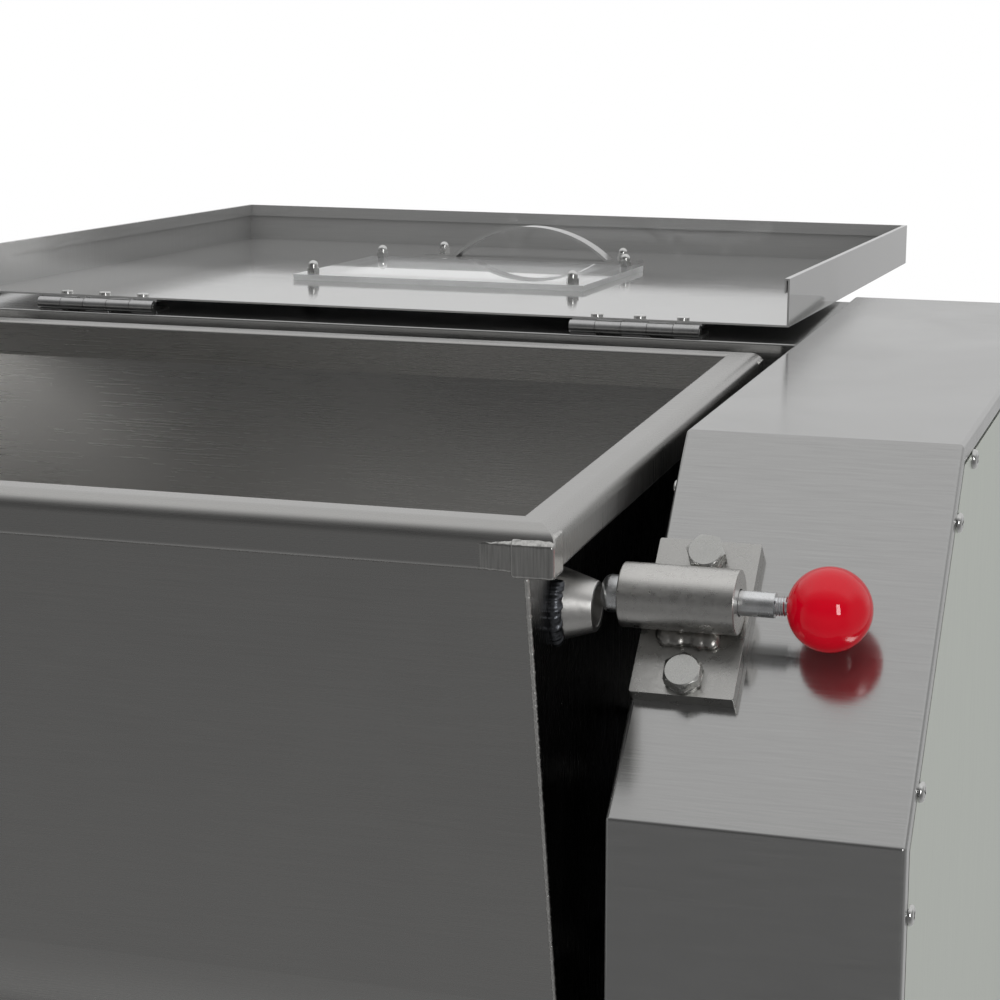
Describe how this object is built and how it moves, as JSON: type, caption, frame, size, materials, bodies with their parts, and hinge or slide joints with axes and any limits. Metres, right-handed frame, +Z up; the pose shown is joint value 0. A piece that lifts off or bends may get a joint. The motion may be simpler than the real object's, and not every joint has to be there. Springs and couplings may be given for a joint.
{
  "type": "dough mixer",
  "caption": "Free-standing stainless dough mixer: a tilting bowl with a kneading agitator hangs between two housings, with a hinged lid and a spring plunger that locks the bowl.",
  "frame": {"origin": "on the floor, midway between the bowl's front and the open lid's back and midway across", "axes": "+X towards the drive housing, +Y towards the back, +Z up"},
  "size_m": [0.8072, 0.9778, 0.9748],
  "materials": {
    "brushed_stainless": "brushed stainless sheet",
    "cover_stainless": "satin stainless sheet",
    "bowl_stainless": "satin stainless with ground welds",
    "lid_stainless": "bright stainless sheet",
    "turned_steel": "turned steel",
    "plated_fastener": "bright plated",
    "hinge_steel": "pressed steel",
    "spring_steel": "drawn wire",
    "drive_steel": "oiled steel",
    "bronze": "machined bronze",
    "frame_paint": "grey primer",
    "cast_grey": "painted casting",
    "motor_paint": "blue enamel",
    "clear_plate": "clear polished sheet",
    "red_ball": "polished",
    "black_rubber": "matte",
    "black_plastic": "moulded",
    "green_plastic": "moulded",
    "stop_red_plastic": "moulded"
  },
  "bodies": {
    "root": {"drive_housing_shell": "brushed_stainless", "idle_housing_shell": "brushed_stainless", "drive_side_cover": "cover_stainless", "idle_side_cover": "cover_stainless", "cover_screws": "plated_fastener", "side_frames": "frame_paint", "cross_tubes": "frame_paint", "bearing_plates": "frame_paint", "rear_deck": "brushed_stainless", "rear_panel": "brushed_stainless", "front_panel": "brushed_stainless", "base_cover": "brushed_stainless", "drive_bed": "frame_paint", "foot_stems": "plated_fastener", "foot_pads": "black_rubber", "trunnion_sleeves": "turned_steel", "shaft_seals": "black_rubber", "bearing_housings": "cast_grey", "bearing_inserts": "turned_steel", "bearing_bolts": "plated_fastener", "drive_chain": "drive_steel", "reducer_case": "cast_grey", "motor_case": "motor_paint", "fan_cover": "motor_paint", "latch_plate": "turned_steel", "latch_barrel": "turned_steel", "latch_bolts": "plated_fastener", "latch_spring": "spring_steel", "deck_hinge_leaves": "hinge_steel", "deck_hinge_rivets": "plated_fastener", "hinge_pins": "plated_fastener", "button_bezels": "black_plastic", "contact_blocks": "black_plastic", "cable_gland": "black_plastic"},
    "bowl": {"bowl_trough": "bowl_stainless", "bowl_ends": "bowl_stainless", "bowl_rim": "bowl_stainless", "lock_socket": "turned_steel", "bowl_hubs": "bowl_stainless", "bowl_bushes": "bronze"},
    "agitator": {"mixing_shaft": "turned_steel", "agitator_spiders": "turned_steel", "kneading_bars": "turned_steel", "main_sprocket": "drive_steel"},
    "reducer_output": {"output_shaft": "turned_steel", "worm_wheel": "bronze", "drive_sprocket": "drive_steel"},
    "motor_spindle": {"worm_shaft": "turned_steel", "motor_rotor": "turned_steel", "cooling_fan": "black_plastic"},
    "lid": {"lid_tray": "lid_stainless", "lid_window": "clear_plate", "lid_dome_nuts": "plated_fastener", "lid_handle": "lid_stainless", "lid_hinge_leaves": "hinge_steel", "lid_hinge_rivets": "plated_fastener"},
    "lock_plunger": {"lock_pin": "turned_steel", "ball_knob": "red_ball"},
    "start": {"start_button": "green_plastic"},
    "stop": {"stop_button": "stop_red_plastic"}
  },
  "joints": [
    {"name": "bowl_tilt", "type": "hinge", "parent": "root", "child": "bowl", "pos_m": [-0.029, -0.25719, 0.7055], "axis": [1, 0, 0], "range_deg": [-2, 98]},
    {"name": "lid_hinge", "type": "hinge", "parent": "root", "child": "lid", "pos_m": [-0.029, -0.00259, 0.9405], "axis": [-1, 0, 0], "range_deg": [-180.66, 0]},
    {"name": "shaft_spin", "type": "hinge", "parent": "root", "child": "agitator", "pos_m": [-0.029, -0.25719, 0.7055], "axis": [1, 0, 0], "continuous": true},
    {"name": "output_spin", "type": "hinge", "parent": "root", "child": "reducer_output", "pos_m": [0.183, -0.25719, 0.2973], "axis": [1, 0, 0], "continuous": true},
    {"name": "motor_spin", "type": "hinge", "parent": "root", "child": "motor_spindle", "pos_m": [0.183, -0.25719, 0.2178], "axis": [0, 1, 0], "continuous": true},
    {"name": "plunger_pull", "type": "slide", "parent": "root", "child": "lock_plunger", "axis": [1, 0, 0], "range_m": [0, 0.012], "stiffness_N_per_m": 800, "springref_m": -0.012, "deforming": ["latch_spring"]},
    {"name": "start_press", "type": "slide", "parent": "root", "child": "start", "axis": [0, 1, 0], "range_m": [0, 0.004], "stiffness_N_per_m": 600, "springref_m": -0.002},
    {"name": "stop_press", "type": "slide", "parent": "root", "child": "stop", "axis": [0, 1, 0], "range_m": [0, 0.004], "stiffness_N_per_m": 600, "springref_m": -0.002}
  ],
  "couplings": [
    {"joint": "output_spin", "follows": "shaft_spin", "ratio": 3},
    {"joint": "motor_spin", "follows": "shaft_spin", "ratio": 30}
  ]
}
